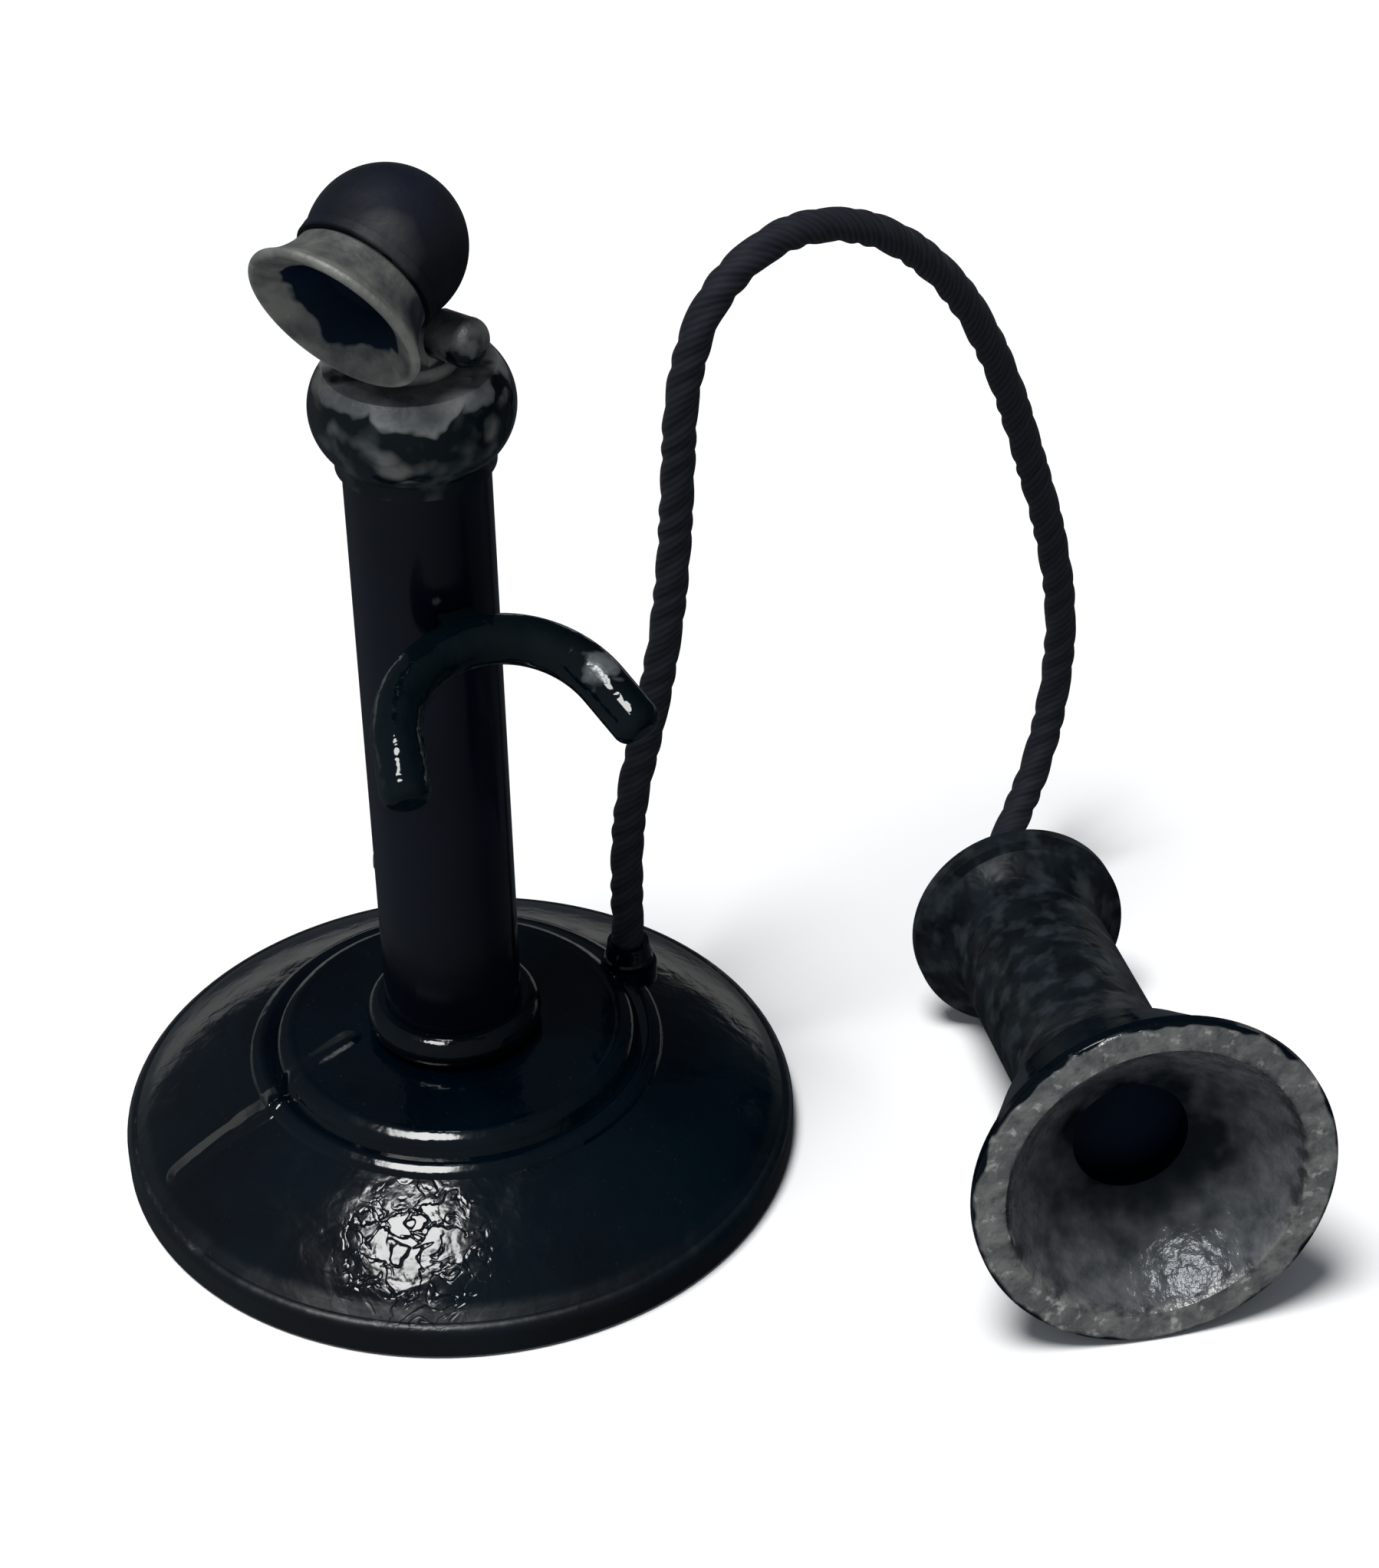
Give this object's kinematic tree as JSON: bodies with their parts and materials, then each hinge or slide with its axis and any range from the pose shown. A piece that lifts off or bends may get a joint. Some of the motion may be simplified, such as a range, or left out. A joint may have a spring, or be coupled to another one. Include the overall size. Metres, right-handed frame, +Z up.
{
  "type": "candlestick telephone",
  "caption": "Black candlestick desk telephone with a tilting mouthpiece, a forked receiver hook and its receiver lying beside it on a twisted cord.",
  "frame": {"origin": "centre of the felt foot, on the table", "axes": "+Z up the column, -Y towards the side seen in the picture, +X towards the lying receiver"},
  "size_m": [0.261, 0.1757, 0.2404],
  "materials": {
    "black_enamel": "gloss",
    "worn_enamel": "satin",
    "steel": "satin",
    "magnet_iron": "matte",
    "spring_brass": "satin",
    "copper_winding": "satin",
    "ebonite": "gloss",
    "diaphragm_aluminium": "satin",
    "black_rubber": "matte",
    "green_felt": "matte",
    "cord_cloth": "matte"
  },
  "bodies": {
    "stand": {"base_casting": "black_enamel", "column_tube": "black_enamel", "column_foot_ring": "black_enamel", "column_top_collar": "black_enamel", "transmitter_yoke": "black_enamel", "receiver_cord_gland": "black_enamel", "tilt_nut": "black_enamel", "base_bottom_plate": "steel", "base_plate_screws": "steel", "terminal_block_screws": "steel", "column_clamp_nut": "steel", "switch_bracket": "steel", "bracket_screws": "steel", "hook_pivot_pin": "steel", "spring_stack_screws": "steel", "tilt_screw": "steel", "front_contact_spring": "spring_brass", "rear_contact_spring": "spring_brass", "terminal_screws": "spring_brass", "terminal_block": "ebonite", "spring_insulator_stack": "ebonite", "line_cord_bushing": "black_rubber", "base_felt_pad": "green_felt", "receiver_cord": "cord_cloth"},
    "hook": {"hook_lever": "black_enamel", "lever_stud": "ebonite"},
    "contact_spring": {"main_contact_spring": "spring_brass"},
    "transmitter": {"transmitter_cup": "black_enamel", "transmitter_faceplate": "black_enamel", "faceplate_screws": "steel", "mouthpiece": "worn_enamel", "diaphragm_gasket": "black_rubber", "transmitter_diaphragm": "diaphragm_aluminium", "carbon_button": "spring_brass", "button_bridge": "spring_brass"},
    "receiver": {"receiver_shell": "black_enamel", "receiver_tail_cap": "black_enamel", "receiver_ear_cap": "worn_enamel", "receiver_diaphragm": "steel", "receiver_magnet": "magnet_iron", "receiver_pole_pieces": "steel", "receiver_coils": "copper_winding", "receiver_coil_plate": "ebonite", "receiver_cord_bushing": "black_rubber"}
  },
  "joints": [
    {"name": "hook_swing", "type": "hinge", "parent": "stand", "child": "hook", "pos_m": [0, 0, 0.1435], "axis": [0.8988, 0.4384, 0], "range_deg": [0, 10], "stiffness_Nm_per_rad": 0.3, "springref_deg": -17.19},
    {"name": "contact_flex", "type": "hinge", "parent": "stand", "child": "contact_spring", "pos_m": [-0.00265, 0.00544, 0.0925], "axis": [0.8988, 0.4384, 0], "range_deg": [-7.5, 0]},
    {"name": "transmitter_tilt", "type": "hinge", "parent": "stand", "child": "transmitter", "pos_m": [0, 0, 0.206], "axis": [0.8192, -0.5736, 0], "range_deg": [-50, 2]},
    {"name": "receiver_lift", "type": "slide", "parent": "stand", "child": "receiver", "axis": [0, 0, 1], "range_m": [0, 0.15], "deforming": ["receiver_cord"]}
  ],
  "couplings": [
    {"joint": "contact_flex", "follows": "hook_swing", "ratio": -0.72}
  ]
}
